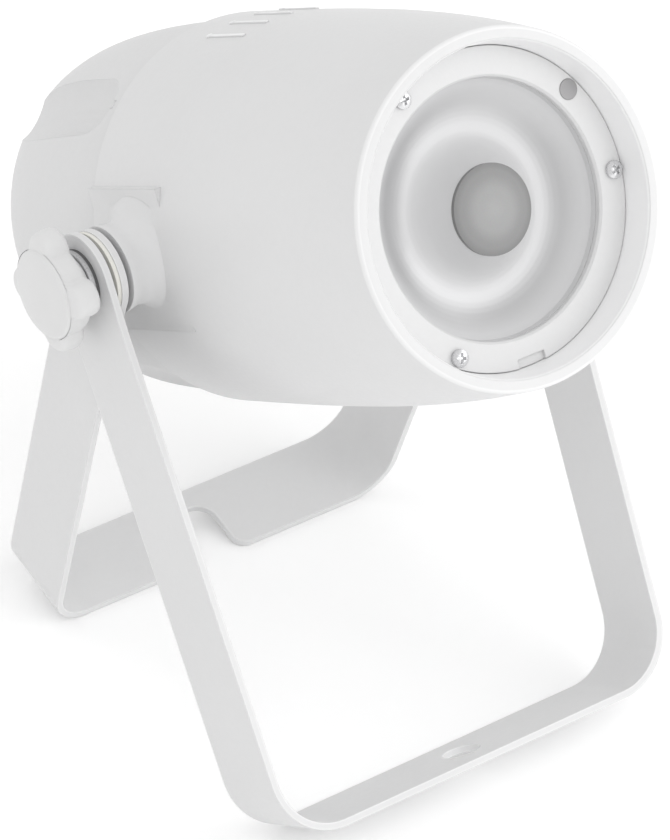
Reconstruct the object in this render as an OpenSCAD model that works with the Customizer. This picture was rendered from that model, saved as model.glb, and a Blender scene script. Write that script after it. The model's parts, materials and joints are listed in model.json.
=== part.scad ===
// Par can stage light, compact LED type, in a double floor stand bracket.
// Units are millimetres. +Z is up and the beam leaves towards -Y.
// The origin is under the middle of the light, on the floor it stands on.

/* [Head] */
// Radius of the barrel at its widest, just behind the pivots
body_r = 62.5; // [55:0.5:70]
// Distance from the pivot axis forward to the front face of the rim
front_reach = 117.7; // [100:0.1:130]
// Distance from the pivot axis back to the lip of the rear shell
rear_reach = 97.4; // [80:0.1:110]
// Distance from the pivot axis back to the seam between the two shells
seam_back = 24.1; // [15:0.1:35]
// How much slimmer the barrel is at the rim than at its widest
rim_taper = 7; // [4:0.1:10]
// How far the beam axis sits below the pivot axis
axis_drop = 3.5; // [0:0.1:6]
// Upward tilt of the head in the rest pose, in degrees
head_tilt = 31.2; // [0:0.1:60]
// Wall thickness of both shells
wall = 2.6; // [2:0.1:4]

/* [Front] */
// Depth of the retaining ring below the rim face
ring_depth = 10.1; // [6:0.1:14]
// Outer radius of the retaining ring
ring_r = 49.4; // [47:0.1:50]
// Radius of the opening in the retaining ring
opening_r = 40; // [36:0.1:43]
// Radius of the circle that the ring screws sit on
screw_circle_r = 46.2; // [45:0.1:47]
// Turn of the ring screws from the horizontal, in degrees
ring_turn = -3; // [-10:0.5:10]
// Radius of the middle lens
lens_r = 14.1; // [12:0.1:16]

/* [Brackets] */
// Strap width of the front bracket
front_strap = 30; // [25:0.5:35]
// Strap width of the rear bracket
rear_strap = 28.5; // [24:0.5:33]
// Strap thickness of both brackets
strap_t = 2.4; // [2:0.1:3]
// Length of the front bracket from the pivot to its crossbar
front_len = 191; // [180:0.5:200]
// Length of the rear bracket from the pivot to its crossbar
rear_len = 169.8; // [160:0.1:180]
// Half width over the front bracket at its crossbar
front_half = 78.7; // [76:0.1:82]
// Half width over the rear bracket at its crossbar
rear_half = 70.5; // [68:0.1:73]
// Swing of the front bracket from the vertical, in degrees
front_swing = 33.2; // [25:0.1:40]
// Radius of the clamp bolt hole
clamp_hole_r = 6.5; // [5:0.1:7]

/* [Pivots] */
// Distance from the middle to the end of each pivot boss
boss_x = 73.6; // [70:0.1:74]
// Radius of the pivot boss at its end
boss_r = 14.3; // [11:0.1:16]
// Radius of the knob's stud
stud_r = 4; // [3:0.1:5]
// Outer radius of the knob over its lobes
knob_r = 20; // [17:0.5:23]

/* [Hidden] */
$fn = 96;
pivot_y = 5.9;
pivot_z = front_len * cos(front_swing) + front_strap / 2 * sin(front_swing);
ring_z = front_reach - ring_depth;
lens_z = ring_z + 0.8;
rear_swing = atan(rear_strap / 2 / rear_len) + acos(pivot_z / norm([rear_len, rear_strap / 2]));
rear_x = 77.9;
front_x = 83.4;
knob_x = front_x + 2.6;
sink_z = 84.2;
panel_z = -rear_reach + 1.2;
gap = 0.05;
shell_len = front_reach + seam_back;
rim_r = body_r - rim_taper;
channels = [50.5, 129.5, 230.5, 309.5];
spacer_spots = [[-22, 8.2], [22, 8.2], [-20.5, 33], [20.5, 33]];

// ---------- frames ----------

// Pivot frame of the head: X along the pivot axis, -Y forward, turned up by the tilt.
module at_head() {
  translate([0, pivot_y, pivot_z])
    rotate([-head_tilt, 0, 0])
      children();
}

// Beam frame: X to the right, Y up, Z forward along the beam, pivot at Z = 0.
module beam() {
  at_head()
    translate([0, 0, -axis_drop])
      rotate([90, 0, 0])
        children();
}

// Bracket frame: legs run down -Z from the pivot axis, strap width along Y.
module swing(angle) {
  translate([0, pivot_y, pivot_z])
    rotate([angle, 0, 0])
      children();
}

// Places children at a radius and angle round the beam.
module around(r, a) {
  rotate([0, 0, a])
    translate([r, 0, 0])
      children();
}

// Makes Z point outwards along +X for the right side, or -X for the left.
module outward(side, x) {
  translate([side * x, 0, 0])
    rotate([0, side * 90, 0])
      children();
}

// ---------- shared shapes ----------

// Barrel radius of the front shell at a distance z ahead of the pivots.
function barrel(z) = body_r - rim_taper * pow((z + seam_back) / (shell_len - 2), 3.2);

// Radius of the rear shell at a distance z, rounding in to its lip.
function tail(z) = 48.4 + 11.8
  * pow(max(0, 1 - pow((-seam_back - z) / (rear_reach - seam_back), 2.2)), 1 / 2.2);

// Tube with its base on Z = 0.
module tube(ro, ri, h) {
  difference() {
    cylinder(r = ro, h = h);
    translate([0, 0, -1])
      cylinder(r = ri, h = h + 2);
  }
}

// Solid ring sector of revolution between two radii and two heights.
module band(ro, ri, z0, z1) {
  translate([0, 0, z0])
    tube(ro, ri, z1 - z0);
}

// Pan head screw with a cross recess, its head's underside on Z = 0.
module pan_screw(r, head_r, head_h, len) {
  difference() {
    union() {
      intersection() {
        cylinder(r = head_r, h = head_h);
        translate([0, 0, head_h - head_r * 1.9])
          sphere(r = head_r * 1.9);
      }
      translate([0, 0, -len])
        cylinder(r = r, h = len + 0.1);
    }
    translate([0, 0, head_h * 0.35])
      cross_recess(head_r);
  }
}

module cross_recess(head_r) {
  linear_extrude(height = 5)
    union() {
      square([head_r * 1.15, head_r * 0.3], center = true);
      square([head_r * 0.3, head_r * 1.15], center = true);
    }
}

// Box on Z = 0 centred on X and Y.
module block(x, y, z) {
  translate([-x / 2, -y / 2, 0])
    cube([x, y, z]);
}

// ---------- front housing ----------

module front_skin() {
  rotate_extrude()
    polygon(concat(
      [[0, -seam_back]],
      [[body_r - 0.6, -seam_back]],
      [for (i = [0:15]) let (z = -seam_back + 0.8 + i * 9) [barrel(z), z]],
      [[barrel(front_reach - 4.2), front_reach - 4.2]],
      [[rim_r, front_reach - 1.8], [rim_r - 0.08, front_reach - 1.1]],
      [[rim_r - 0.35, front_reach - 0.5], [rim_r - 0.75, front_reach - 0.12]],
      [[rim_r - 1.2, front_reach], [0, front_reach]]
    ));
}

module front_cavity() {
  ledge = ring_z - 2.6;
  rotate_extrude()
    polygon(concat(
      [[0, -seam_back - 1], [body_r - wall - 0.4, -seam_back - 1]],
      [for (i = [0:11]) let (z = -seam_back + i * 9.6) [barrel(z) - wall, z]],
      [[barrel(88) - wall, 90]],
      [[43, 97.5], [43, ledge - 2.6], [44.6, ledge - 2.6], [44.6, ledge]],
      [[ring_r + 0.2, ledge], [ring_r + 0.25, ring_z]],
      [[ring_r + 1.6, front_reach - 0.6], [ring_r + 2.1, front_reach + 0.01]],
      [[ring_r + 2.1, front_reach + 1], [0, front_reach + 1]]
    ));
}

// Pivot boss that flares out into the side of the barrel.
module pivot_boss(side) {
  translate([0, axis_drop, 0])
    outward(side, 0)
      rotate_extrude()
        polygon([
          [0, 56], [19.4, 56], [19.3, 59.4], [18.4, 60], [17.2, 60.7], [16.2, 61.5],
          [15.2, 62.6], [14.5, 63.8], [13.9, 65.2], [boss_r - 0.8, 67.5],
          [boss_r - 0.8, boss_x - 4.5], [boss_r, boss_x - 1], [boss_r, boss_x], [0, boss_x]
        ]);
}

// Flat land on each side of the barrel, proud of it only above and below the boss.
module side_pad(side) {
  difference() {
    translate([side > 0 ? 50 : -59.3, -21.4, -seam_back])
      cube([9.3, 46.7, seam_back + 17]);
    translate([0, 0, -40])
      cylinder(r = 60.6, h = 80);
  }
}

module shell_post(a) {
  around(57.2, a)
    translate([0, 0, -seam_back + 0.2])
      cylinder(r = 4.4, h = 18);
}

module chassis_post(x, z) {
  translate([x, -53.2, z])
    rotate([-90, 0, 0])
      cylinder(r = 4, h = 23.7);
}

module front_housing() color("white") beam() difference() {
  union() {
    difference() {
      front_skin();
      front_cavity();
    }
    for (side = [-1, 1]) {
      pivot_boss(side);
      side_pad(side);
    }
    for (i = [0:3])
      around(0, 77 + i * 8.7)
        top_rib();
    for (i = [0:2])
      around(46.2, 57 + ring_turn + i * 120)
        translate([0, 0, sink_z])
          cylinder(r = 3.4, h = 15);
    for (a = channels)
      shell_post(a);
    for (x = [-28, 28], z = [6, 32])
      chassis_post(x, z);
  }
  for (side = [-1, 1])
    translate([0, axis_drop, 0])
      outward(side, 55)
        cylinder(r = 6 + gap, h = 20);
  for (i = [0:2])
    around(screw_circle_r, ring_turn + i * 120)
      translate([0, 0, ring_z - 9.6])
        cylinder(r = 1.5 + gap, h = 9);
  around(screw_circle_r + 1.1, 34.5)
    translate([0, 0, ring_z - 14])
      cylinder(r = 2.1, h = 14);
  for (i = [0:2])
    around(46.2, 57 + ring_turn + i * 120)
      translate([0, 0, sink_z - 1])
        cylinder(r = 1.5 + gap, h = 9);
  for (a = channels)
    around(57.2, a)
      translate([0, 0, -seam_back - 1])
        cylinder(r = 1.5 + gap, h = 14);
  for (x = [-28, 28], z = [6, 32])
    translate([x, -38, z])
      rotate([-90, 0, 0])
        cylinder(r = 1.5 + gap, h = 10);
}

// Raised rib on top of the barrel, just ahead of the seam.
module top_rib() {
  translate([body_r - 1.6, -0.65, -2.5])
    cube([2.05, 1.3, 20.5]);
  translate([body_r - 1.6, 0, -2.5])
    rotate([0, 90, 0])
      cylinder(r = 1.1, h = 2.15);
}

// ---------- rear housing ----------

module tail_skin(inset) {
  rotate_extrude()
    polygon(concat(
      [[0, -seam_back - 0.9]],
      [[60.2 - 0.4 - inset, -seam_back - 0.9]],
      [for (i = [0:22]) let (z = -seam_back - 1.4 - i * (rear_reach - seam_back - 1.4) / 22)
        [tail(z) - inset, z]],
      [[0, -rear_reach]]
    ));
}

// Long channel cutter, round at its front end, which sinks deeper towards the back.
module scallop(r, back) {
  translate([68.3, 0, -43])
    rotate([0, 5.2, 0]) {
      sphere(r = r);
      translate([0, 0, -back])
        cylinder(r = r, h = back);
    }
}

// The shell screws are reached along the channels, so they sit at the front ends.
module rear_housing() color("whitesmoke") beam() difference() {
  union() {
    difference() {
      tail_skin(0);
      difference() {
        tail_skin(wall);
        for (a = channels)
          around(0, a)
            scallop(16.4, 58);
        translate([0, 0, -rear_reach])
          cylinder(r = 70, h = 5.6);
      }
    }
    difference() {
      band(59.6, 57.4, -seam_back - 3, -seam_back + 6);
      for (a = channels)
        around(55, a)
          translate([0, -5, -seam_back - 0.1])
            cube([8, 10, 8]);
      for (x = [-62, 54])
        translate([x, -10, -seam_back - 0.1])
          cube([8, 27, 8]);
    }
    for (a = channels)
      intersection() {
        around(57.2, a)
          translate([0, 0, -seam_back - 14])
            cylinder(r = 4.6, h = 13.9);
        translate([0, 0, -60])
          cylinder(r = 59.4, h = 60);
      }
    for (a = [45, 135, 225, 315])
      around(44.4, a)
        translate([0, 0, -rear_reach + 3.3])
          cylinder(r = 3.4, h = 10);
  }
  for (a = channels)
    around(0, a)
      scallop(14, 70);
  translate([0, 0, -rear_reach - 1])
    cylinder(r = 47.2, h = 4.3);
  translate([0, 0, -rear_reach - 1])
    cylinder(r = 42, h = 9);
  for (a = channels)
    around(57.2, a) {
      translate([0, 0, -seam_back - 9])
        cylinder(r = 1.6, h = 12);
      translate([0, 0, -seam_back - 22])
        cylinder(r = 3.2, h = 16);
    }
  for (a = [45, 135, 225, 315])
    around(44.4, a)
      translate([0, 0, -rear_reach + 2])
        cylinder(r = 1.5 + gap, h = 9);
  translate([0, -26, -rear_reach - 1])
    block(28, 31.6, 14);
}

// ---------- rear panel and its connectors ----------

module rear_panel() color("dimgray") beam() difference() {
  translate([0, 0, panel_z])
    cylinder(r = 47, h = 2);
  translate([0, 27, panel_z - 1])
    block(30.2, 12.2, 4);
  for (x = [-16.5, -5.5, 5.5, 16.5])
    translate([x, 12.5, panel_z - 1])
      cylinder(r = 3.3, h = 4);
  for (side = [-1, 1])
    translate([side * 31, -6, panel_z - 1])
      cylinder(r = 10, h = 4);
  for (x = [-8, 8], side = [-1, 1])
    translate([side * 31 + x, -6 - x * 1.25, panel_z - 1])
      cylinder(r = 1.3, h = 4);
  translate([31, 5.2, panel_z - 1])
    block(7.2, 3.8, 4);
  translate([0, -26, panel_z - 1])
    block(27.2, 30.8, 4);
  for (a = [45, 135, 225, 315])
    around(44.4, a)
      translate([0, 0, panel_z - 1])
        cylinder(r = 1.7, h = 4);
  for (side = [-1, 1], i = [0:3])
    translate([side * (21.5 + i * 4.6), 22.5 - i * 2.2, panel_z - 1])
      block(1.8, 12 - i * 2, 4);
  for (x = [-6.5, 6.5])
    translate([x, 40.5, panel_z - 1])
      cylinder(r = 1.6, h = 4);
}

module rear_panel_screws() color("silver") beam()
  for (a = [45, 135, 225, 315])
    around(44.4, a)
      translate([0, 0, panel_z - gap])
        rotate([180, 0, 0])
          pan_screw(1.5, 2.5, 1.7, 9);

module shell_screws() color("silver") beam()
  for (a = channels)
    around(57.2, a)
      translate([0, 0, -seam_back - 6 - gap])
        rotate([180, 0, 0])
          pan_screw(1.5, 2.8, 2, 17);

module power_inlet() color("#222222") beam() translate([0, -26, 0]) difference() {
  union() {
    translate([0, 0, panel_z - 1.9])
      block(30, 33, 1.8);
    translate([0, 0, panel_z - 0.2])
      block(26.8, 30.4, 22.2);
  }
  translate([0, 5.2, panel_z - 3])
    inlet_mouth(17.5);
  translate([0, -11.2, panel_z - 3])
    block(22, 6.6, 22.6);
}

// Plug recess with its two lower corners cut off, as in a C14 inlet.
module inlet_mouth(depth) {
  linear_extrude(height = depth)
    polygon([[-12.1, -4.6], [-12.1, 8.4], [12.1, 8.4], [12.1, -4.6], [8.6, -8.1], [-8.6, -8.1]]);
}

module inlet_pins() color("silver") beam() translate([0, -20.8, panel_z + 14.45]) {
  for (x = [-7, 7])
    translate([x, -2.2, -13])
      block(2, 4, 13);
  translate([0, 2.6, -13])
    block(2, 4, 13);
}

module fuse_drawer() color("#2a2a2a") beam() translate([0, -37.2, panel_z - 2.9]) difference() {
  union() {
    block(21.4, 6, 20.8);
    translate([0, 1.6, -1])
      block(12, 2.2, 1.2);
  }
  translate([0, 0, 4])
    block(18, 7, 6.4);
}

module fuse() color("silver") beam() translate([-8.8, -37.2, panel_z + 4.3])
  rotate([0, 90, 0]) {
    cylinder(r = 2.5, h = 4.8);
    translate([0, 0, 4.7])
      cylinder(r = 2.3, h = 8.2);
    translate([0, 0, 12.8])
      cylinder(r = 2.5, h = 4.8);
  }

module connector_plate() {
  intersection() {
    block(23.5, 27, 1.6);
    translate([0, 0, -1])
      cylinder(r = 14.6, h = 4);
  }
}

module connector_holes() {
  for (x = [-8, 8])
    translate([x, -x * 1.25, -8])
      cylinder(r = 1.3, h = 20);
}

module signal_input() color("#303034") beam() translate([-31, -6, panel_z - 1.65])
  difference() {
    union() {
      connector_plate();
      translate([0, 0, 1])
        cylinder(r = 9.7, h = 20);
    }
    translate([0, 0, -1])
      cylinder(r = 8, h = 15.6);
    connector_holes();
  }

module input_pins() color("silver") beam() translate([-31, -6, panel_z - 1.65])
  for (a = [150, 30, 270])
    around(4, a)
      translate([0, 0, 2.6]) {
        sphere(r = 1.2);
        cylinder(r = 1.2, h = 12);
      }

module signal_output() color("#303034") beam() translate([31, -6, panel_z - 1.65])
  difference() {
    union() {
      connector_plate();
      translate([0, 0, 1])
        cylinder(r = 9.7, h = 20);
    }
    difference() {
      translate([0, 0, -1])
        cylinder(r = 9.2, h = 16);
      translate([0, 0, -2])
        cylinder(r = 7.9, h = 20);
    }
    for (a = [150, 30, 270])
      around(4, a)
        translate([0, 0, -1])
          cylinder(r = 1.45, h = 14);
    translate([0, 11.2, -1])
      block(7.2, 3.8, 14);
    connector_holes();
  }

module output_contacts() color("gold") beam() translate([31, -6, panel_z - 1.65])
  for (a = [150, 30, 270])
    around(4, a)
      translate([0, 0, 1.2])
        tube(1.4, 1.1, 11.6);

module output_latch() color("#b8b8b8") beam() translate([31, 5.2, panel_z - 3.2])
  block(6.6, 3.2, 5.4);

module connector_screws() color("black") beam()
  for (side = [-1, 1], x = [-8, 8])
    translate([side * 31 + x, -6 - x * 1.25, panel_z - 1.7])
      rotate([180, 0, 0])
        pan_screw(1.2, 2.3, 1.3, 3.6);

module safety_eyelet() color("silver") beam() difference() {
  union() {
    translate([0, 40.5, panel_z - 2.1])
      block(19, 6.6, 2);
    translate([0, 40.5, panel_z - 11])
      block(3, 6.6, 10.5);
    translate([-1.5, 40.5, panel_z - 11])
      rotate([0, 90, 0])
        cylinder(r = 7.6, h = 3);
    for (x = [-6.5, 6.5])
      translate([x, 40.5, panel_z - 3.2])
        cylinder(r = 1.5, h = 5.1);
  }
  translate([-5, 40.5, panel_z - 11])
    rotate([0, 90, 0])
      cylinder(r = 4.5, h = 10);
}

// ---------- control electronics ----------

module display_window() color("#101418") beam()
  translate([0, 27, panel_z - 0.2])
    block(30, 12, 1.8);

module display_module() color("#30343a") beam() {
  translate([0, 27, panel_z + 2.1])
    block(29, 13, 5.4);
  for (x = [-10.5, -3.5, 3.5, 10.5])
    translate([x, 27, panel_z + 1.65])
      block(5, 8.4, 0.5);
}

module menu_button(x) {
  translate([x, 12.5, panel_z - 1.9])
    cylinder(r = 2.95, h = 4.2);
  translate([x, 12.5, panel_z + 2.2])
    cylinder(r = 4, h = 0.9);
}

module menu_button_1() color("white") beam() menu_button(-16.5);
module menu_button_2() color("white") beam() menu_button(-5.5);
module menu_button_3() color("white") beam() menu_button(5.5);
module menu_button_4() color("white") beam() menu_button(16.5);

module control_board() color("#1f6b3a") beam() difference() {
  translate([0, 22, panel_z + 8])
    block(50, 32, 1.6);
  for (p = spacer_spots)
    translate([p[0], p[1], panel_z + 7])
      cylinder(r = 1.6, h = 4);
}

module control_parts() color("#202226") beam() {
  for (x = [-16.5, -5.5, 5.5, 16.5])
    translate([x, 12.5, panel_z + 4.6]) {
      cylinder(r = 1.7, h = 1);
      translate([0, 0, 0.9])
        block(6, 6, 2.45);
    }
  translate([-8, 24, panel_z + 9.65])
    block(10, 10, 1.8);
  translate([9, 25, panel_z + 9.65])
    block(8, 6, 1.5);
  translate([16, 13, panel_z + 9.65])
    block(12, 5, 6);
}

module control_spacers() color("ivory") beam()
  for (p = spacer_spots)
    translate([p[0], p[1], panel_z + 2.05]) {
      cylinder(r = 2.6, h = 5.9);
      cylinder(r = 1.5, h = 8.6);
      translate([0, 0, 7.6])
        cylinder(r = 2.2, h = 0.9);
    }

// ---------- power electronics ----------

module chassis_plate() color("lightsteelblue") beam() difference() {
  union() {
    translate([-35, -29.45, -64])
      cube([70, 1.2, 100]);
    for (x = [-35, 33.8])
      translate([x, -29.45, -64])
        cube([1.2, 5.4, 100]);
  }
  for (x = [-28, 28], z = [6, 32])
    translate([x, -31, z])
      rotate([-90, 0, 0])
        cylinder(r = 1.7, h = 4);
  for (x = [-29, 29], z = [-56, 20])
    translate([x, -31, z])
      rotate([-90, 0, 0])
        cylinder(r = 1.6, h = 4);
}

module chassis_screws() color("silver") beam()
  for (x = [-28, 28], z = [6, 32])
    translate([x, -28.2, z])
      rotate([-90, 0, 0])
        pan_screw(1.5, 2.8, 1.9, 8);

module board_standoffs() color("ivory") beam()
  for (x = [-29, 29], z = [-56, 20])
    translate([x, -28.2, z])
      rotate([-90, 0, 0]) {
        cylinder(r = 2.8, h = 6);
        translate([0, 0, -2.4])
          cylinder(r = 1.45, h = 11.4);
        translate([0, 0, 7.75])
          cylinder(r = 2.2, h = 1.2);
      }

module power_board() color("#2b6b41") beam() difference() {
  translate([-33, -22.15, -60])
    cube([66, 1.6, 84]);
  for (x = [-29, 29], z = [-56, 20])
    translate([x, -24, z])
      rotate([-90, 0, 0])
        cylinder(r = 1.55, h = 5);
}

// Stands children on top of the power board.
module on_board(x, z) {
  translate([x, -20.5, z])
    rotate([-90, 0, 0])
      children();
}

module power_parts() color("#23252a") beam() {
  on_board(-20, 6) cylinder(r = 8, h = 22);
  on_board(-20, -14) cylinder(r = 6, h = 18);
  on_board(21, -46) cylinder(r = 5, h = 15);
  on_board(-20, -42) difference() {
    cylinder(r = 8.5, h = 9);
    translate([0, 0, -1])
      cylinder(r = 3.4, h = 12);
  }
  on_board(2, -49) block(20, 10, 11);
  on_board(4, 17) block(26, 8, 10);
  on_board(29, -12) block(2.4, 26, 18);
  on_board(25, -12) block(4.4, 10, 15);
}

module power_transformer() color("#c8a040") beam() on_board(6, -15) {
  block(22, 24, 5);
  translate([0, 0, 5])
    block(16, 17, 10);
  translate([0, 0, 15])
    block(22, 24, 4.5);
}

// Straight length of insulated wire between two points, with a round end.
module wire(p, q, r) {
  d = q - p;
  translate(p)
    rotate([0, acos(d[2] / norm(d)), atan2(d[1], d[0])])
      cylinder(r = r, h = norm(d), $fn = 24);
  translate(q)
    sphere(r = r * 1.2, $fn = 24);
}

module inside_wires() color("red") beam() {
  for (x = [-4, 4]) {
    wire([x, -10, 19], [x, 16, 22], 0.9);
    wire([x, 16, 22], [x, 16, 85.3], 0.9);
    wire([x, 16, 85.3], [x, 11.3, 85.3], 0.9);
  }
  for (x = [-6, 6])
    wire([x, -18, panel_z + 22.9], [x, -18, -55.3], 0.9);
  for (x = [12, 14, 16, 18])
    wire([x, 12.5, panel_z + 16.4], [x - 10, -8.6, -50], 0.5);
  wire([38.98, 26.79, 96.5], [38.98, 26.79, 91], 0.6);
  wire([38.98, 26.79, 91], [42.8, 29.4, 86.8], 0.6);
  wire([42.8, 29.4, 86.8], [42.8, 29.4, -60], 0.6);
  wire([42.8, 29.4, -60], [22, 24, -85.8], 0.6);
}

// ---------- lamp ----------

module retaining_ring() color("white") beam() difference() {
  band(ring_r, opening_r, ring_z - 2.5, ring_z);
  translate([0, 0, ring_z - 0.8])
    cylinder(r1 = opening_r - 0.01, r2 = opening_r + 0.8, h = 0.9);
  for (i = [0:2])
    around(screw_circle_r, ring_turn + i * 120)
      translate([0, 0, ring_z - 5])
        cylinder(r = 1.7, h = 8);
  around(screw_circle_r - 0.4, 34.5)
    translate([0, 0, ring_z - 5])
      cylinder(r = 3.2 + gap, h = 8);
  translate([0, -ring_r, ring_z - 1])
    block(10, 6, 8);
}

module ring_screws() color("silver") beam()
  for (i = [0:2])
    around(screw_circle_r, ring_turn + i * 120)
      translate([0, 0, ring_z + gap])
        rotate([0, 0, 25 + i * 40])
          pan_screw(1.5, 2.8, 1.9, 9);

module ir_window() color("#404048") beam() around(screw_circle_r - 0.4, 34.5)
  translate([0, 0, ring_z - 2.4])
    cylinder(r = 3.2, h = 2.55);

module ir_receiver() color("#202024") beam() around(screw_circle_r + 1.1, 34.5) {
  translate([0, 0, ring_z - 8])
    cylinder(r = 1.9, h = 3.5);
  translate([0, 0, ring_z - 5])
    sphere(r = 1.75);
  for (y = [-1.2, 0, 1.2])
    translate([0, y, ring_z - 11])
      cylinder(r = 0.3, h = 4, $fn = 16);
}

// Height of the reflector's face at a radius: a ring shaped dish that climbs gently to the
// retaining ring outside, and steeply like a trumpet to the lens in the middle.
function dish(r) = ring_z - 11.5
  + (r > 24.5 ? 7.7 * pow((r - 24.5) / 15.5, 2) : 10.4 * pow((24.5 - r) / 10.75, 2.2));

module reflector() color("silver") beam() rotate_extrude() polygon(concat(
  [for (i = [0:24]) let (r = 13.75 + i * 25.75 / 24) [r, dish(r)]],
  [[39.9, ring_z - 2.55], [40.8, ring_z - 2.55], [40.8, ring_z - 3.8], [44.4, ring_z - 3.8]],
  [[44.4, ring_z - 5.1], [40.6, ring_z - 5.1]],
  [for (i = [0:16]) let (r = 40 - i * 26.25 / 16) [r, dish(r) - 1.5]]
));

module ring_gasket() color("#303030") beam()
  band(44.3, 41, ring_z - 3.75, ring_z - 2.55);

module center_lens() color("#606068") beam() {
  intersection() {
    translate([0, 0, lens_z - 1.8])
      cylinder(r = lens_r, h = 4);
    translate([0, 0, lens_z + 0.6 - 100])
      sphere(r = 100, $fn = 256);
  }
  translate([0, 0, lens_z - 3.8])
    cylinder(r = 12.4, h = 2.1);
}

module lens_barrel() color("#d8d8d8") beam() difference() {
  union() {
    translate([0, 0, sink_z + 2.2])
      cylinder(r = 13.6, h = lens_z - 1.85 - sink_z - 2.2);
    translate([0, 0, sink_z + 2.2])
      cylinder(r = 18.6, h = 1.8);
    for (x = [-15.8, 15.8])
      translate([x, 0, sink_z])
        cylinder(r = 2.5, h = 2.4);
  }
  translate([0, 0, sink_z - 1])
    cylinder(r = 12.5, h = 40);
  for (x = [-15.8, 15.8])
    translate([x, 0, sink_z - 1])
      cylinder(r = 1.2, h = 8);
}

module barrel_screws() color("silver") beam()
  for (x = [-15.8, 15.8])
    translate([x, 0, sink_z + 4.05])
      pan_screw(1.1, 1.9, 1.4, 8);

module led_board() color("#e8e8e0") beam()
  translate([0, 0, sink_z + gap])
    block(20, 20, 1.4);

module led_emitter() color("#f0d040") beam()
  translate([0, 0, sink_z + 1.5])
    cylinder(r = 6.5, h = 0.6);

module heat_sink() color("lightgray") beam() difference() {
  union() {
    translate([0, 0, sink_z - 6])
      cylinder(r = 50, h = 5.95);
    intersection() {
      union()
        for (i = [-5:5])
          translate([i * 8 - 0.9, -50, sink_z - 44])
            cube([1.8, 100, 39]);
      translate([0, 0, sink_z - 50])
        cylinder(r = 49.6, h = 50);
    }
  }
  for (i = [0:2])
    around(46.2, 57 + ring_turn + i * 120) {
      translate([0, 0, sink_z - 50])
        cylinder(r = 3.5, h = 44.1);
      translate([0, 0, sink_z - 8])
        cylinder(r = 1.7, h = 12);
    }
  for (x = [-15.8, 15.8])
    translate([x, 0, sink_z - 5])
      cylinder(r = 1.1 + gap, h = 8);
  for (x = [-4, 4])
    translate([x, 16, sink_z - 8])
      cylinder(r = 1.5, h = 12);
}

module heat_sink_screws() color("silver") beam()
  for (i = [0:2])
    around(46.2, 57 + ring_turn + i * 120)
      translate([0, 0, sink_z - 5.9 - gap])
        rotate([180, 0, 0])
          pan_screw(1.5, 2.8, 1.9, 12.5);

// ---------- pivots and knobs ----------

module pivot_insert(side) {
  at_head() outward(side, 57.8)
    tube(6, stud_r + 0.06, 15.6);
}

module pivot_insert_left() color("gold") pivot_insert(-1);
module pivot_insert_right() color("gold") pivot_insert(1);

module boss_washers() color("#202020") at_head()
  for (side = [-1, 1])
    outward(side, boss_x + gap)
      tube(10.5, stud_r + 0.3, rear_x - strap_t - boss_x - 0.1);

module spacer_washers() color("ivory") swing(0)
  for (side = [-1, 1])
    outward(side, rear_x + gap)
      tube(14, stud_r + 0.3, 1.4);

module bracket_washers() color("#202020") swing(0)
  for (side = [-1, 1])
    outward(side, rear_x + 1.5)
      tube(10.5, stud_r + 0.3, front_x - strap_t - rear_x - 1.55);

module pad_washers() color("#202020") swing(0)
  for (side = [-1, 1])
    outward(side, front_x + gap)
      tube(10.2, stud_r + 0.3, 1);

module knob_washer(side) {
  swing(0) outward(side, front_x + 1.1)
    tube(10.2, stud_r + gap, 1.5);
}

module knob_washer_left() color("silver") knob_washer(-1);
module knob_washer_right() color("silver") knob_washer(1);

// Four lobed hand knob, its hub against the washer at Z = 0.
module knob(side) {
  swing(0) outward(side, knob_x + 0.05) difference() {
    union() {
      cylinder(r = 9.5, h = 3);
      intersection() {
        translate([0, 0, 2])
          linear_extrude(height = 12)
            union() {
              circle(r = 14.4);
              for (a = [20, 110, 200, 290])
                rotate([0, 0, a])
                  translate([knob_r - 8.8, 0])
                    circle(r = 8.8);
            }
        rotate_extrude()
          polygon([
            [0, 0], [knob_r - 1.2, 2.2], [knob_r + 0.4, 3.4], [knob_r + 0.4, 8.2],
            [knob_r - 0.6, 10], [knob_r - 2, 11], [15.6, 11.6], [15, 12.4], [9, 13.2], [0, 13.5]
          ]);
      }
    }
    translate([0, 0, -1])
      cylinder(r = stud_r + 0.03, h = 9);
  }
}

module knob_left() color("white") knob(-1);
module knob_right() color("white") knob(1);

module knob_stud(side) {
  swing(0) outward(side, 57.5) {
    cylinder(r1 = 3.4, r2 = stud_r, h = 0.8);
    translate([0, 0, 0.75])
      cylinder(r = stud_r, h = knob_x + 7.9 - 58.25);
  }
}

module knob_stud_left() color("silver") knob_stud(-1);
module knob_stud_right() color("silver") knob_stud(1);

// ---------- brackets ----------

// One leg of a bracket: a round eye at the pivot, then a strap that leans in to the bend.
module leg(side, top, low, bend, len, w) {
  intersection() {
    translate([0, w / 2, 0])
      rotate([90, 0, 0])
        linear_extrude(height = w)
          polygon([
            [side * top, w / 2], [side * top, -18], [side * low, -len + bend],
            [side * (low - strap_t), -len + bend], [side * (top - strap_t), -18],
            [side * (top - strap_t), w / 2]
          ]);
    union() {
      outward(side, 0)
        cylinder(r = w / 2, h = 100);
      translate([-100, -w / 2, -len])
        cube([200, w, len]);
    }
  }
}

// Quarter bend between a leg and the crossbar.
module bend(side, low, bend, len, w) {
  intersection() {
    translate([side * (low - bend), w / 2, -len + bend])
      rotate([90, 0, 0])
        difference() {
          cylinder(r = bend, h = w);
          translate([0, 0, -1])
            cylinder(r = bend - strap_t, h = w + 2);
        }
    translate([side * (low - bend) + (side < 0 ? -bend - 1 : 0), -w, -len - 1])
      cube([bend + 1, w * 2, bend + 1]);
  }
}

module strap(top, low, bend, len, w) {
  for (side = [-1, 1]) {
    leg(side, top, low, bend, len, w);
    bend(side, low, bend, len, w);
  }
  translate([-low + bend, -w / 2, -len])
    cube([(low - bend) * 2, w, strap_t]);
}

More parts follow.
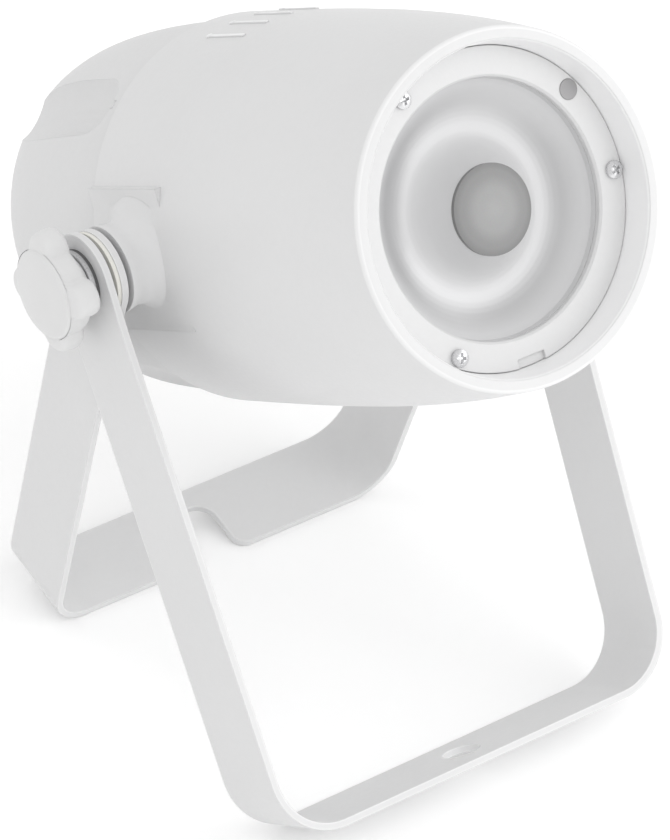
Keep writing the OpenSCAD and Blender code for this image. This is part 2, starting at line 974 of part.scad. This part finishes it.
module stud_holes() {
  rotate([0, 90, 0])
    translate([0, 0, -100])
      cylinder(r = stud_r + 0.08, h = 200);
}

module front_bracket() color("white") swing(-front_swing) difference() {
  strap(front_x, front_half, 22, front_len, front_strap);
  stud_holes();
  translate([0, 0, -front_len - 1])
    cylinder(r = clamp_hole_r, h = strap_t + 2);
}

module rear_bracket() color("white") swing(rear_swing) difference() {
  strap(rear_x, rear_half, 16.3, rear_len, rear_strap);
  stud_holes();
  translate([0, 0, -rear_len - 1]) {
    cylinder(r = 7, h = strap_t + 2);
    translate([-7, -rear_strap, 0])
      cube([14, rear_strap, strap_t + 2]);
    for (side = [-1, 1])
      difference() {
        translate([side * 9.5 - 3, -rear_strap / 2 - 1, 0])
          cube([6, 6, strap_t + 2]);
        translate([side * 12.5, -rear_strap / 2 + 5.5, -1])
          cylinder(r = 5.5, h = strap_t + 4);
      }
  }
}

front_housing();
rear_housing();
rear_panel();
rear_panel_screws();
shell_screws();
retaining_ring();
ring_screws();
reflector();
ring_gasket();
center_lens();
lens_barrel();
barrel_screws();
led_board();
led_emitter();
heat_sink();
heat_sink_screws();
ir_window();
ir_receiver();
chassis_plate();
chassis_screws();
board_standoffs();
power_board();
power_parts();
power_transformer();
control_board();
control_parts();
control_spacers();
display_module();
display_window();
menu_button_1();
menu_button_2();
menu_button_3();
menu_button_4();
power_inlet();
inlet_pins();
fuse_drawer();
fuse();
signal_input();
input_pins();
signal_output();
output_contacts();
output_latch();
connector_screws();
safety_eyelet();
inside_wires();
pivot_insert_left();
pivot_insert_right();
boss_washers();
spacer_washers();
bracket_washers();
knob_washer_left();
knob_washer_right();
knob_left();
knob_right();
knob_stud_left();
knob_stud_right();
front_bracket();
rear_bracket();
pad_washers();
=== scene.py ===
"""Par can stage light: materials, soft knobs, floor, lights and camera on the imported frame."""
import json
import math

import bmesh
import bpy
from mathutils import Matrix, Vector


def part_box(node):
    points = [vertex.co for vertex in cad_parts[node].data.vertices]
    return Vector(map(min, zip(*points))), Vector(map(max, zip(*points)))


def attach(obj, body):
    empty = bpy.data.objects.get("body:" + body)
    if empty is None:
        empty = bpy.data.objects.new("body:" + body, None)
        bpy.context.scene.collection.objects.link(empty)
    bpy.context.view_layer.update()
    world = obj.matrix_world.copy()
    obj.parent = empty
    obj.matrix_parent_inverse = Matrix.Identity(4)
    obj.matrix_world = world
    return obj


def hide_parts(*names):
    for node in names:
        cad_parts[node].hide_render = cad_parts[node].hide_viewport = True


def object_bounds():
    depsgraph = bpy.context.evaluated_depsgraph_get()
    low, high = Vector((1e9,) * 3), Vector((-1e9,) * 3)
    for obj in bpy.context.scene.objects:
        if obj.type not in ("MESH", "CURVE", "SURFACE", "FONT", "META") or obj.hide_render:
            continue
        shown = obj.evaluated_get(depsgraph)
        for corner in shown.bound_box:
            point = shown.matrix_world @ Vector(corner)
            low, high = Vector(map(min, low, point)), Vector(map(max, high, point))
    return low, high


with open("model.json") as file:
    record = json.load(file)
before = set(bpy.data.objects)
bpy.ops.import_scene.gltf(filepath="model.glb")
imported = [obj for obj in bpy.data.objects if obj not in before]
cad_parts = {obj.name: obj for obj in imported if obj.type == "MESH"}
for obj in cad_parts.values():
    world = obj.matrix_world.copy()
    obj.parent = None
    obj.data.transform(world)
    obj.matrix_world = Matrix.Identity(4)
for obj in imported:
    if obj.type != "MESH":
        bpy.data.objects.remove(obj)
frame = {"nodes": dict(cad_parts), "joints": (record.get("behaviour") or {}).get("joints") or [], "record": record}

CAD_LO, CAD_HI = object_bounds()
NODES = frame["nodes"]
JOINTS = {joint["name"]: joint for joint in frame["joints"]}
SLOT_OF = {part["node"]: part["material_slot"] for part in frame["record"]["subparts"]}

# ---------------------------------------------------------------- frame of the head

# the beam runs this far below the pivot, in metres, and the menu buttons press forward along it
AXIS_DROP = 0.0035
PIVOT = Vector(JOINTS["head_tilt"]["pos_m"])
FORWARD = Vector(JOINTS["menu_button_1_press"]["axis"]).normalized()
RIGHT = Vector((1, 0, 0))
UP = RIGHT.cross(-FORWARD).normalized()
if UP.z < 0:
    UP = -UP
ORIGIN = PIVOT - UP * AXIS_DROP
# columns: beam X (right), beam Y (up), beam Z (forward)
BEAM = Matrix((
    (RIGHT.x, UP.x, FORWARD.x, ORIGIN.x),
    (RIGHT.y, UP.y, FORWARD.y, ORIGIN.y),
    (RIGHT.z, UP.z, FORWARD.z, ORIGIN.z),
    (0, 0, 0, 1),
))

# ---------------------------------------------------------------- node helpers

# sockets of the colour mix node, which has several with the same name
MIX_SHARE = 0
MIX_FIRST = 6
MIX_SECOND = 7
MIX_RESULT = 2

# quality of the rounded normals
BEVEL_SAMPLES = 4

# the materials by the names asked for, because Blender adds a number to a name already in use
MATERIALS = {}


class Mat:
    """A material with one Principled shader. A source is a node with one of its outputs."""

    def __init__(self, name, **values):
        self.mat = bpy.data.materials.new(name)
        MATERIALS[name] = self.mat
        self.mat.use_nodes = True
        self.tree = self.mat.node_tree
        self.tree.nodes.clear()
        self.bsdf = self.node("ShaderNodeBsdfPrincipled")
        self.feed(self.node("ShaderNodeOutputMaterial"), "Surface", (self.bsdf, "BSDF"))
        self.coord = (self.node("ShaderNodeTexCoord"), "Object")
        for socket, value in values.items():
            self.set(socket.replace("_", " "), value)

    def node(self, kind, **properties):
        new = self.tree.nodes.new(kind)
        for key, value in properties.items():
            setattr(new, key, value)
        return new

    def feed(self, node, socket, value):
        """Gives an input a number, a colour of three numbers, or a source."""
        target = node.inputs[socket]
        if isinstance(value, (int, float)):
            target.default_value = value
        elif len(value) == 3:
            target.default_value = (*value, 1.0)
        else:
            maker, output = value
            self.tree.links.new(maker.outputs[output], target)

    def set(self, socket, value):
        self.feed(self.bsdf, socket, value)

    def noise(self, scale, detail, rough, where=None):
        """Noise on the object's coordinates, or on another source."""
        new = self.node("ShaderNodeTexNoise")
        self.feed(new, "Scale", scale)
        self.feed(new, "Detail", detail)
        self.feed(new, "Roughness", rough)
        self.feed(new, "Vector", where or self.coord)
        return new, "Fac"

    def ramp(self, source, stops, interpolation="LINEAR"):
        """Colour ramp. A stop is a place with a grey or a colour."""
        new = self.node("ShaderNodeValToRGB")
        new.color_ramp.interpolation = interpolation
        elements = new.color_ramp.elements
        while len(elements) < len(stops):
            elements.new(0.5)
        for element, (place, colour) in zip(elements, stops):
            if isinstance(colour, (int, float)):
                colour = (colour, colour, colour)
            element.position = place
            element.color = (*colour, 1)
        self.feed(new, "Fac", source)
        return new, "Color"

    def math(self, operation, *terms, clamp=False):
        """Arithmetic on numbers and sources."""
        new = self.node("ShaderNodeMath", operation=operation, use_clamp=clamp)
        for i, term in enumerate(terms):
            self.feed(new, i, term)
        return new, "Value"

    def above(self, value, start, steepness):
        """Mask that rises from 0 to 1 as a value goes past the start."""
        return self.math("MULTIPLY", self.math("SUBTRACT", value, start), steepness, clamp=True)

    def below(self, value, end, steepness):
        """Mask that falls from 1 to 0 as a value comes up to the end."""
        return self.math("MULTIPLY", self.math("SUBTRACT", end, value), steepness, clamp=True)

    def mix(self, share, first, second, blend="MIX"):
        """Colour that goes from the first to the second by the share."""
        new = self.node("ShaderNodeMix", data_type="RGBA", blend_type=blend)
        self.feed(new, MIX_SHARE, share)
        self.feed(new, MIX_FIRST, first)
        self.feed(new, MIX_SECOND, second)
        return new, MIX_RESULT

    def rounded(self, radius):
        """Shading normal with the edges rounded off."""
        new = self.node("ShaderNodeBevel", samples=BEVEL_SAMPLES)
        self.feed(new, "Radius", radius)
        return new, "Normal"

    def bump(self, height, distance, strength, normal=None):
        """Bumps the surface by a source, on top of another normal if there is one."""
        new = self.node("ShaderNodeBump")
        self.feed(new, "Distance", distance)
        self.feed(new, "Strength", strength)
        self.feed(new, "Height", height)
        if normal is not None:
            self.feed(new, "Normal", normal)
        self.set("Normal", (new, "Normal"))


def tint(rgb, k):
    """A colour made lighter or darker by a factor."""
    return tuple(min(1.0, c * k) for c in rgb)


def beam_polar(m):
    """Sources of the distance along the beam, the radius from it and the height above it."""
    place = m.node("ShaderNodeMapping", vector_type="TEXTURE")
    place.inputs["Location"].default_value = ORIGIN
    place.inputs["Rotation"].default_value = BEAM.to_euler()
    m.feed(place, "Vector", m.coord)
    axes = m.node("ShaderNodeSeparateXYZ")
    m.feed(axes, "Vector", (place, "Vector"))
    across, height, along = ((axes, axis) for axis in "XYZ")
    squares = [m.math("MULTIPLY", side, side) for side in (across, height)]
    radius = m.math("SQRT", m.math("ADD", *squares))
    return along, radius, height


# ---------------------------------------------------------------- materials

# Where the front housing's paint is made paler as painted light: a distance along the beam, a radius from it or a
# height above it, in metres, and how steeply the mask changes there
WALL_START = (0.1040, 1000)
WALL_RADIUS = (0.0514, 3000)
LIP_START = (0.1164, 2000)
LIP_RADIUS = (0.0540, 3000)
RIB_RADIUS = (0.06262, 5000)
RIB_HEIGHT = (0.050, 900)
LIP_SHARE = 0.45

# the brackets' edges, painted paler as a painted highlight: their width in metres, and how steeply the mask
# changes
EDGE_HIGHLIGHT_WIDTH = 0.0012
EDGE_HIGHLIGHT_STEEPNESS = 4.0

# roundness of the edges of each kind of material, in metres
PAINT_EDGE = 0.0005
MOULDED_EDGE = 0.0004
METAL_EDGE = 0.0003

# the radii between which the dish keeps its metal film; inside and outside them it is painted paler and less
# metallic, painted light that lifts the dark crevices there, and how steeply that change comes
HUB_LIFT_RADIUS = (0.0265, 250)
EDGE_LIFT_RADIUS = (0.0325, 180)
FILM_METALLIC = 0.75
FILM_DARK = (0.53, 0.53, 0.535)
FILM_PALE = (0.55, 0.55, 0.555)
LIFT_METALLIC = 0.08
LIFT_WHITE = (0.62, 0.62, 0.625)

# pitch of the turning marks in the dish and radius of the lens, in metres
TURNING_PITCH = 0.0016
LENS_RADIUS = 0.0142

# greys of the lens by the share of its radius
LENS_GREYS = ((0.0, 0.37), (0.4, 0.345), (0.8, 0.27), (1.0, 0.22))
SPECK_SHARE = 0.12


def painted_rim_and_rib_light(m):
    """Mask of painted light: the wall behind the ring lifted out of its shade, and painted highlights on part of
    the rim's lip and on the ribs on top.
    """
    along, radius, height = beam_polar(m)
    wall = m.math("MULTIPLY", m.above(along, *WALL_START), m.below(radius, *WALL_RADIUS))
    lip = m.math("MULTIPLY", m.above(along, *LIP_START), m.above(radius, *LIP_RADIUS))
    ribs = m.math("MULTIPLY", m.above(radius, *RIB_RADIUS), m.above(height, *RIB_HEIGHT))
    front = m.math("MAXIMUM", wall, m.math("MULTIPLY", lip, LIP_SHARE))
    return m.math("MAXIMUM", front, ribs)


def painted_edge_highlights(m):
    """Mask of the painted highlight on the edges, where the rounded normal turns away from the true one."""
    turn = m.node("ShaderNodeVectorMath", operation="DOT_PRODUCT")
    m.feed(turn, 0, m.rounded(EDGE_HIGHLIGHT_WIDTH))
    m.feed(turn, 1, (m.node("ShaderNodeNewGeometry"), "Normal"))
    return m.below((turn, "Value"), 1.0, EDGE_HIGHLIGHT_STEEPNESS)


def powder_coat(name, rgb, rough=0.42, peel=900, mask=None, pale=1.0):
    """Powder coat: fine orange peel and a slow drift in tone. It is painted paler where the mask is, as painted
    light.
    """
    m = Mat(name, IOR=1.5, Specular_IOR_Level=0.45)
    drift = m.noise(scale=9, detail=4, rough=0.55)
    mottle = m.noise(scale=420, detail=3, rough=0.6)
    cloud = m.math("MULTIPLY_ADD", mottle, 0.35, drift)
    tone = m.ramp(cloud, [(0.35, tint(rgb, 0.96)), (0.75, rgb), (1.0, tint(rgb, 1.015))])
    if mask is not None:
        tone = m.mix(mask(m), tone, tint(rgb, pale))
    m.set("Base Color", tone)
    skin = m.noise(scale=peel, detail=2, rough=0.45)
    m.set("Roughness", m.ramp(skin, [(0.3, rough - 0.05), (0.7, rough + 0.06)]))
    m.bump(skin, distance=0.00006, strength=0.55, normal=m.rounded(PAINT_EDGE))


def moulded(name, rgb, rough=0.45, grain=2600, depth=0.00004, spec=0.45):
    """Injection moulded plastic with a fine spark eroded texture."""
    m = Mat(name, IOR=1.49, Specular_IOR_Level=spec)
    flow = m.noise(scale=30, detail=3, rough=0.6)
    m.set("Base Color", m.ramp(flow, [(0.3, tint(rgb, 0.965)), (0.7, tint(rgb, 1.02))]))
    fine = m.noise(scale=grain, detail=3, rough=0.7)
    m.set("Roughness", m.ramp(fine, [(0.3, rough - 0.06), (0.7, rough + 0.08)]))
    m.bump(fine, distance=depth, strength=0.6, normal=m.rounded(MOULDED_EDGE))


def metal(name, rgb, rough=0.3, stretch=(1, 1, 1), scale=900):
    """Metal with fine machined marks, drawn out to streaks by a stretch."""
    m = Mat(name, Metallic=1.0)
    stretched = m.node("ShaderNodeMapping")
    stretched.inputs["Scale"].default_value = stretch
    m.feed(stretched, "Vector", m.coord)
    streak = m.noise(scale=scale, detail=4, rough=0.65, where=(stretched, "Vector"))
    blot = m.noise(scale=60, detail=3, rough=0.6)
    m.set("Base Color", m.ramp(blot, [(0.3, tint(rgb, 0.88)), (0.7, tint(rgb, 1.05))]))
    m.set("Roughness", m.ramp(streak, [(0.3, rough - 0.1), (0.7, rough + 0.12)]))
    m.bump(streak, distance=0.00003, strength=0.5, normal=m.rounded(METAL_EDGE))


def reflector_metal(name):
    """Frosted dish with faint turning marks. At the foot of the hub and at the outer edge it is
    painted paler and less metallic: painted light that lifts the dark crevices there."""
    m = Mat(name, Specular_IOR_Level=0.4)
    _, radius, _ = beam_polar(m)
    haze = m.noise(scale=30, detail=2, rough=0.5)
    film = m.ramp(haze, [(0.3, FILM_DARK), (0.7, FILM_PALE)])
    # paler and less metallic at the hub foot and the outer edge: painted light
    painted_lift = m.math("MAXIMUM", m.below(radius, *HUB_LIFT_RADIUS), m.above(radius, *EDGE_LIFT_RADIUS))
    m.set("Base Color", m.mix(painted_lift, film, LIFT_WHITE))
    m.set("Metallic", m.math("MULTIPLY_ADD", painted_lift, LIFT_METALLIC - FILM_METALLIC, FILM_METALLIC))
    m.set("Roughness", m.ramp(haze, [(0.3, 0.38), (0.7, 0.42)]))
    turning = m.math("SINE", m.math("MULTIPLY", radius, 2 * math.pi / TURNING_PITCH))
    m.bump(turning, distance=0.000008, strength=0.5)


def smoked_lens(name):
    """Smoked lens with fine specks, palest in the middle."""
    m = Mat(name, Roughness=0.34, IOR=1.49, Specular_IOR_Level=0.35)
    _, radius, _ = beam_polar(m)
    share = m.math("DIVIDE", radius, LENS_RADIUS)
    tone = m.ramp(share, LENS_GREYS, "EASE")
    speck, _ = m.noise(scale=1800, detail=2, rough=0.5)
    m.set("Base Color", m.mix(SPECK_SHARE, tone, (speck, "Color"), "MULTIPLY"))
    m.bump((speck, "Fac"), distance=0.00001, strength=0.3)


def circuit(name, rgb):
    """Solder mask with faint traces underneath."""
    m = Mat(name, Roughness=0.3, IOR=1.5)
    brick = m.node("ShaderNodeTexBrick")
    m.feed(brick, "Scale", 160)
    m.feed(brick, "Mortar Size", 0.03)
    m.feed(brick, "Color1", rgb)
    m.feed(brick, "Color2", tint(rgb, 1.15))
    m.feed(brick, "Mortar", tint(rgb, 1.9))
    m.feed(brick, "Vector", m.coord)
    m.set("Base Color", (brick, "Color"))
    m.bump((brick, "Fac"), distance=0.00003, strength=0.5)


WHITE = (0.712, 0.712, 0.714)
OFF_WHITE = tint(WHITE, 0.97)
TAIL_WHITE = tint(WHITE, 0.965)
RING_WHITE = tint(WHITE, 0.96)
BRACKET_WHITE = tint(WHITE, 0.99)
WINDOW_GREY = (0.34, 0.335, 0.34)
CORE_BROWN = (0.20, 0.17, 0.13)

# the body paint is painted paler on the recess wall, the rim's lip and the ribs: painted light and painted
# highlights
powder_coat("body_paint", WHITE, mask=painted_rim_and_rib_light, pale=1.25)
powder_coat("tail_paint", TAIL_WHITE, rough=0.45)
# the bracket edges are painted paler: a painted highlight
powder_coat("bracket_paint", BRACKET_WHITE, rough=0.46, peel=800, mask=painted_edge_highlights, pale=1.22)
powder_coat("ring_paint", RING_WHITE, rough=0.38, peel=1200)
powder_coat("panel_paint", OFF_WHITE, rough=0.5, peel=1100)
moulded("knob_plastic", (0.715, 0.715, 0.715))
moulded("button_plastic", (0.70, 0.70, 0.70))
moulded("black_plastic", (0.035, 0.035, 0.037))
moulded("window_plastic", WINDOW_GREY, rough=0.16, grain=500, depth=0.00001)
moulded("barrel_plastic", (0.62, 0.62, 0.62))
moulded("led_ceramic", (0.82, 0.82, 0.79), rough=0.3)
moulded("led_phosphor", (0.90, 0.70, 0.16), rough=0.35)
moulded("rubber", (0.13, 0.13, 0.132), rough=0.7, grain=1500, spec=0.3)
moulded("component_plastic", (0.05, 0.05, 0.055), rough=0.35)
moulded("transformer_core", CORE_BROWN, rough=0.6, grain=900)
moulded("nylon", (0.80, 0.79, 0.74))
moulded("wire_red", (0.50, 0.03, 0.025), rough=0.35)
metal("heat_sink_metal", (0.62, 0.63, 0.64), rough=0.38, stretch=(1, 8, 1))
metal("steel", (0.76, 0.76, 0.77), stretch=(1, 1, 12))
metal("screw_steel", (0.74, 0.74, 0.75), rough=0.24, scale=1600)
metal("brass", (0.78, 0.60, 0.28), rough=0.25)
metal("gold_contact", (0.83, 0.64, 0.27), rough=0.2)
metal("fuse_glass", (0.72, 0.72, 0.70), rough=0.15)
reflector_metal("reflector_metal")
smoked_lens("lens_glass")
circuit("circuit_board", (0.03, 0.20, 0.08))


def dress(obj, material):
    """Gives the object's mesh this one material."""
    if not obj.data.materials:
        obj.data.materials.append(material)
    for i in range(len(obj.data.materials)):
        obj.data.materials[i] = material


# ---------------------------------------------------------------- CAD nodes

WELD_DISTANCE = 2e-6
SMOOTH_BELOW = math.radians(28)


def smoothing_group(angle):
    """Geometry nodes that join coincident points and shade smooth below an edge angle."""
    group = bpy.data.node_groups.new("weld_and_smooth", "GeometryNodeTree")
    for way in ("INPUT", "OUTPUT"):
        group.interface.new_socket("Geometry", in_out=way, socket_type="NodeSocketGeometry")
    start = group.nodes.new("NodeGroupInput")
    end = group.nodes.new("NodeGroupOutput")
    weld = group.nodes.new("GeometryNodeMergeByDistance")
    weld.inputs["Distance"].default_value = WELD_DISTANCE
    faces = group.nodes.new("GeometryNodeSetShadeSmooth")
    faces.domain = "FACE"
    faces.inputs["Shade Smooth"].default_value = True
    edges = group.nodes.new("GeometryNodeSetShadeSmooth")
    edges.domain = "EDGE"
    edges.inputs["Shade Smooth"].default_value = False
    bend = group.nodes.new("GeometryNodeInputMeshEdgeAngle")
    more = group.nodes.new("FunctionNodeCompare")
    more.data_type = "FLOAT"
    more.operation = "GREATER_THAN"
    more.inputs["B"].default_value = angle
    group.links.new(start.outputs[0], weld.inputs["Geometry"])
    group.links.new(weld.outputs[0], faces.inputs["Geometry"])
    group.links.new(faces.outputs[0], edges.inputs["Geometry"])
    group.links.new(bend.outputs["Unsigned Angle"], more.inputs["A"])
    group.links.new(more.outputs[0], edges.inputs["Selection"])
    group.links.new(edges.outputs[0], end.inputs[0])
    return group


SMOOTH = smoothing_group(SMOOTH_BELOW)
for name, obj in NODES.items():
    dress(obj, MATERIALS[SLOT_OF[name]])
    mesh = obj.data
    if "custom_normal" in mesh.attributes:
        mesh.attributes.remove(mesh.attributes["custom_normal"])
    smooth = obj.modifiers.new("weld_and_smooth", "NODES")
    smooth.node_group = SMOOTH

# ---------------------------------------------------------------- knobs

# outline of the grip, in mm
LOBES = 4
LOBE_CENTRE = 14.1
LOBE_RADIUS = 5.9
LOBE_TURN = math.radians(20)
CORE_RADIUS = 14.4
GROOVE_BLEND = 1.0
NECK_RADIUS = 9.9
KNOB_POINTS = 144
MM_PER_METRE = 1000


def lobed(angle):
    """Outline radius of the lobed grip at an angle, in mm, with soft grooves."""
    spacing = 2 * math.pi / LOBES
    phi = (angle - LOBE_TURN + spacing / 2) % spacing - spacing / 2
    under = LOBE_RADIUS ** 2 - (LOBE_CENTRE * math.sin(phi)) ** 2
    outer = LOBE_CENTRE * math.cos(phi) + math.sqrt(under) if under > 0 else 0.0
    closeness = max(GROOVE_BLEND - abs(outer - CORE_RADIUS), 0.0) / GROOVE_BLEND
    return max(outer, CORE_RADIUS) + closeness * closeness * GROOVE_BLEND / 4


# Rings of the knob from the bore to the middle of the cap, in mm: height, share of the lobed
# outline, radius taken off that outline (or the radius itself where the share is 0), least radius
KNOB_ROWS = (
    (8.0, 0, 0.01, 0), (8.0, 0, 2.2, 0), (8.0, 0, 4.1, 0), (4.0, 0, 4.1, 0),
    (0.3, 0, 4.1, 0), (0.0, 0, 4.4, 0), (0.0, 0, 6.8, 0), (0.0, 0, 9.0, 0),
    (0.25, 0, 9.45, 0), (1.6, 0, 9.5, 0), (2.2, 0.5, 4.5, 0), (2.35, 1, 3.6, 0),
    (2.5, 1, 2.2, 0), (2.95, 1, 1.0, 0), (3.8, 1, 0.25, 0), (5.0, 1, 0, 0),
    (7.0, 1, 0.05, 0), (8.6, 1, 0.15, 14.4), (9.8, 1, 0.6, 14.4), (10.6, 1, 1.3, 14.45),
    (11.1, 1, 2.2, 14.5), (11.4, 1, 3.6, 14.6), (11.45, 0, 14.95, 0), (11.35, 0, 14.6, 0),
    (11.5, 0, 14.3, 0), (12.1, 0, 14.1, 0), (12.5, 0, 13.4, 0), (12.86, 0, 11.6, 0),
    (13.12, 0, 9.0, 0), (13.33, 0, 5.5, 0), (13.44, 0, 2.5, 0), (13.46, 0, 0.01, 0),
)


def row_radius(angle, share, value, least):
    """Radius of a knob row at an angle, in mm."""
    grip = max(lobed(angle) - value, least)
    if share == 0:
        return value
    if share < 1:
        return share * grip + (1 - share) * NECK_RADIUS
    return grip


def knob_mesh(side, node, body):
    """Soft edged knob with a domed cap and a blind bore, standing for the CAD knob."""
    low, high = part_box(node)
    base = (high if side < 0 else low).x
    bm = bmesh.new()
    rings = []
    for height, share, value, least in KNOB_ROWS:
        ring = []
        for i in range(KNOB_POINTS):
            angle = 2 * math.pi * i / KNOB_POINTS
            radius = row_radius(angle, share, value, least)
            # angle 0 points straight down on the right side and straight up on the left
            y = radius * math.sin(angle)
            z = -side * radius * math.cos(angle)
            place = (
                base + side * height / MM_PER_METRE,
                PIVOT.y + y / MM_PER_METRE,
                PIVOT.z + z / MM_PER_METRE,
            )
            ring.append(bm.verts.new(place))
        rings.append(ring)
    for near, far in zip(rings, rings[1:]):
        for i in range(KNOB_POINTS):
            j = (i + 1) % KNOB_POINTS
            bm.faces.new((near[i], near[j], far[j], far[i]))
    bm.faces.new(rings[0])
    bm.faces.new(rings[-1])
    bmesh.ops.recalc_face_normals(bm, faces=bm.faces)
    for face in bm.faces:
        face.smooth = True
    mesh = bpy.data.meshes.new("soft_" + node)
    bm.to_mesh(mesh)
    bm.free()
    obj = bpy.data.objects.new("soft_" + node, mesh)
    bpy.context.scene.collection.objects.link(obj)
    subdivision = obj.modifiers.new("subdivision", "SUBSURF")
    subdivision.levels = 1
    subdivision.render_levels = 1
    dress(obj, MATERIALS["knob_plastic"])
    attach(obj, body)
    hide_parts(node)


knob_mesh(-1, "knob_left", "knob_left")
knob_mesh(1, "knob_right", "knob_right")

# ---------------------------------------------------------------- floor and world

FLOOR_RADIUS = 6.0
FLOOR_SIDES = 96
FLOOR_GAP = 0.0001
FLOOR_GLOW = 0.08
SKY_STRENGTH = 0.835

floor_mesh = bpy.data.meshes.new("floor")
bm = bmesh.new()
bmesh.ops.create_circle(bm, cap_ends=True, segments=FLOOR_SIDES, radius=FLOOR_RADIUS)
bm.to_mesh(floor_mesh)
bm.free()
floor = bpy.data.objects.new("floor", floor_mesh)
floor.location = (0, 0, CAD_LO.z - FLOOR_GAP)
bpy.context.scene.collection.objects.link(floor)
card = Mat("floor_card", Roughness=0.9, Specular_IOR_Level=0.1)
grain = card.noise(scale=300, detail=3, rough=0.6)
card.set("Base Color", card.ramp(grain, [(0.3, 0.955), (0.7, 0.97)]))
card.set("Emission Color", (1, 1, 1))
card.set("Emission Strength", FLOOR_GLOW)
dress(floor, card.mat)

world = bpy.data.worlds.new("studio")
bpy.context.scene.world = world
world.use_nodes = True
sky = world.node_tree.nodes["Background"]
sky.inputs["Color"].default_value = (1, 1, 1, 1)
sky.inputs["Strength"].default_value = SKY_STRENGTH

# ---------------------------------------------------------------- lights

LIT_POINT = Vector((0, 0, 0.15))


def light_card(name, direction, distance, size, power, reflected=True):
    """Square card that lights the object from a direction. Metres and watts."""
    data = bpy.data.lights.new(name, "AREA")
    data.shape = "SQUARE"
    data.size = size
    data.energy = power
    obj = bpy.data.objects.new(name, data)
    away = Vector(direction).normalized()
    obj.location = LIT_POINT + away * distance
    obj.rotation_mode = "QUATERNION"
    obj.rotation_quaternion = (-away).to_track_quat("-Z", "Y")
    obj.visible_glossy = reflected
    bpy.context.scene.collection.objects.link(obj)


light_card("dish_box", (0.49, -0.80, 0.34), 2.0, 1.6, 8.0)
light_card("side_box", (0.862, -0.402, 0.309), 2.0, 1.6, 5.5)
light_card("key_front", (0.15, -0.62, 0.80), 2.4, 1.6, 3.0, reflected=False)
light_card("fill_left", (-0.353, -0.504, 0.788), 2.4, 1.6, 6.6, reflected=False)
light_card("fill_back", (-0.25, 0.60, 0.76), 2.4, 1.8, 5.0, reflected=False)

# ---------------------------------------------------------------- camera

# from the pivot to the camera and to the point that it looks at, in metres
EYE_OFFSET = Vector((-0.90646, -1.13551, 1.04648))
AIM_OFFSET = Vector((-0.01416, -0.04400, -0.05507))
ROLL = math.radians(4.2035)
SENSOR_MM = 36.0
LENS_MM = 241.8624

data = bpy.data.cameras.new("camera")
camera = bpy.data.objects.new("camera", data)
bpy.context.scene.collection.objects.link(camera)
bpy.context.scene.camera = camera
eye = PIVOT + EYE_OFFSET
look = (AIM_OFFSET - EYE_OFFSET).normalized()
side = look.cross(Vector((0, 0, 1))).normalized()
top = side.cross(look)
cam_x = side * math.cos(ROLL) + top * math.sin(ROLL)
cam_y = -side * math.sin(ROLL) + top * math.cos(ROLL)
camera.matrix_world = Matrix((
    (cam_x.x, cam_y.x, -look.x, eye.x),
    (cam_x.y, cam_y.y, -look.y, eye.y),
    (cam_x.z, cam_y.z, -look.z, eye.z),
    (0, 0, 0, 1),
))
data.sensor_fit = "AUTO"
data.sensor_width = SENSOR_MM
data.lens = LENS_MM
data.clip_start = 0.05
data.clip_end = 50
bpy.context.scene.view_settings.view_transform = "Standard"
